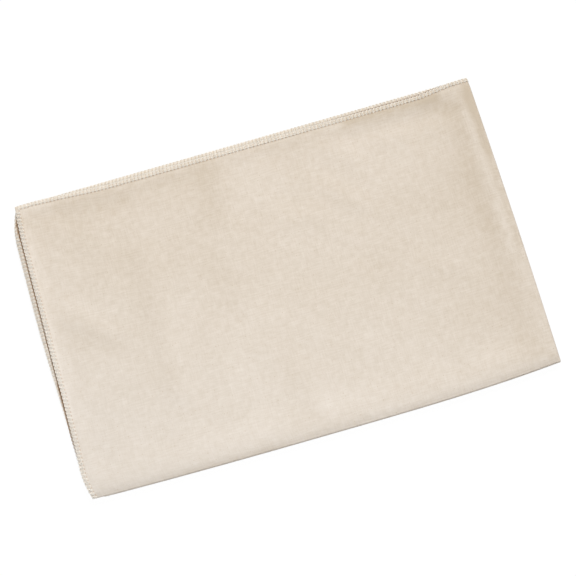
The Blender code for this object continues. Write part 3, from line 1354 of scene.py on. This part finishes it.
@dataclass(frozen=True)
class SoftLamp:
    """A square lamp that looks at the liner from a bearing round it."""

    name: str
    bearing: float
    elevation: float
    distance: float
    size: float
    watts: float
    colour: tuple[float, float, float]

    def place(self) -> None:
        """Place the lamp."""
        data = bpy.data.lights.new(self.name, "AREA")
        data.shape = "SQUARE"
        data.size = self.size
        data.energy = self.watts
        data.color = self.colour
        lamp = bpy.data.objects.new(self.name, data)
        turn, climb = math.radians(self.bearing), math.radians(self.elevation)
        level = math.cos(climb)
        outward = Vector((level * math.cos(turn), level * math.sin(turn), math.sin(climb)))
        lamp.location = outward * self.distance
        lamp.rotation_mode = "QUATERNION"
        lamp.rotation_quaternion = (-outward).to_track_quat("-Z", "Y")
        bpy.context.scene.collection.objects.link(lamp)


@dataclass(frozen=True)
class Studio:
    """The white floor, the soft lamps and the pale surroundings."""

    floor_size: float = 12.0
    floor_gap: float = 0.0002
    sky_colour: Colour = (1.0, 0.97, 0.92, 1.0)
    sky_strength: float = 0.22
    lamps: tuple[SoftLamp, ...] = (
        SoftLamp(name="key_lamp", bearing=68.0, elevation=35.0, distance=8.0, size=2.4, watts=545.0,
                 colour=(1.015, 1.0, 0.975)),
        SoftLamp(name="fill_lamp", bearing=247.0, elevation=63.0, distance=0.95, size=0.5, watts=3.6,
                 colour=(1.0, 1.0, 1.0)),
    )

    def build(self) -> None:
        """Build the floor, place the lamps and set the surroundings."""
        half = self.floor_size / 2
        points = np.array([(-half, -half, -self.floor_gap), (half, -half, -self.floor_gap)])
        points = np.concatenate([points, points[::-1] * (1, -1, 1)])
        floor = MeshParts(points, [(0, 1, 2, 3)], {}).make("floor", FloorFinish().make())
        for lamp in self.lamps:
            lamp.place()
        self.surround()
        bpy.context.scene.view_settings.view_transform = "Standard"

    def surround(self) -> None:
        """Give even soft light, which the camera sees as white."""
        world = bpy.data.worlds.new("studio")
        world.use_nodes = True
        bpy.context.scene.world = world
        desk = NodeDesk(world.node_tree)
        values = {"Color": self.sky_colour, "Strength": self.sky_strength}
        soft = desk.node("ShaderNodeBackground", None, values)
        white = desk.node("ShaderNodeBackground", None, {"Color": WHITE, "Strength": 1.0})
        values = {0: desk.seen_rays(), 1: soft.outputs[0], 2: white.outputs[0]}
        mixed = desk.node("ShaderNodeMixShader", None, values)
        desk.dress("World Output", {"Surface": mixed.outputs[0]})


@dataclass(frozen=True)
class PhotoCamera:
    """The camera, at the photograph's angle."""

    focal_length: float = 75.0
    sensor_width: float = 36.0
    turn: float = -10.42
    tilt: float = 9.62
    roll: float = -5.90
    distance: float = 1.0052
    target: tuple[float, float, float] = (0.0047, -0.0019, 0.0)
    near: float = 0.05
    far: float = 30.0

    def place(self) -> None:
        """Place the camera and make it the scene's."""
        turn, tilt = math.radians(self.turn), math.radians(self.tilt)
        right = Vector((math.cos(turn), math.sin(turn), 0.0))
        look = Vector((-math.sin(turn) * math.sin(tilt), math.cos(turn) * math.sin(tilt), -math.cos(tilt)))
        up = right.cross(look)
        rolled = Matrix.Rotation(math.radians(self.roll), 3, -look)
        data = bpy.data.cameras.new("photo_camera")
        data.lens = self.focal_length
        data.sensor_width = self.sensor_width
        data.clip_start = self.near
        data.clip_end = self.far
        camera = bpy.data.objects.new("photo_camera", data)
        axes = (rolled @ Matrix((right, up, -look)).transposed()).to_4x4()
        camera.matrix_world = Matrix.Translation(Vector(self.target) - look * self.distance) @ axes
        bpy.context.scene.collection.objects.link(camera)
        bpy.context.scene.camera = camera


def main() -> None:
    """Build the scene: camera, studio and liner."""
    logging.basicConfig(level=logging.INFO, format="%(name)s: %(message)s")
    axis_x, _, axis_z = frame["record"]["behaviour"]["joints"][0]["pos_m"]
    highest = cad_box[1]
    seam_overhang = 0.0005
    form = FoldedForm(fold_axis_x=axis_x, middle_height=axis_z, long_edge_y=highest.y - seam_overhang)
    PhotoCamera().place()
    log.info("camera placed")
    Studio().build()
    log.info("studio built")
    Liner(form, BookFold(Vector((form.second_fold_x, 0.0, form.free_height)))).build()


if __name__ == "__main__":
    main()
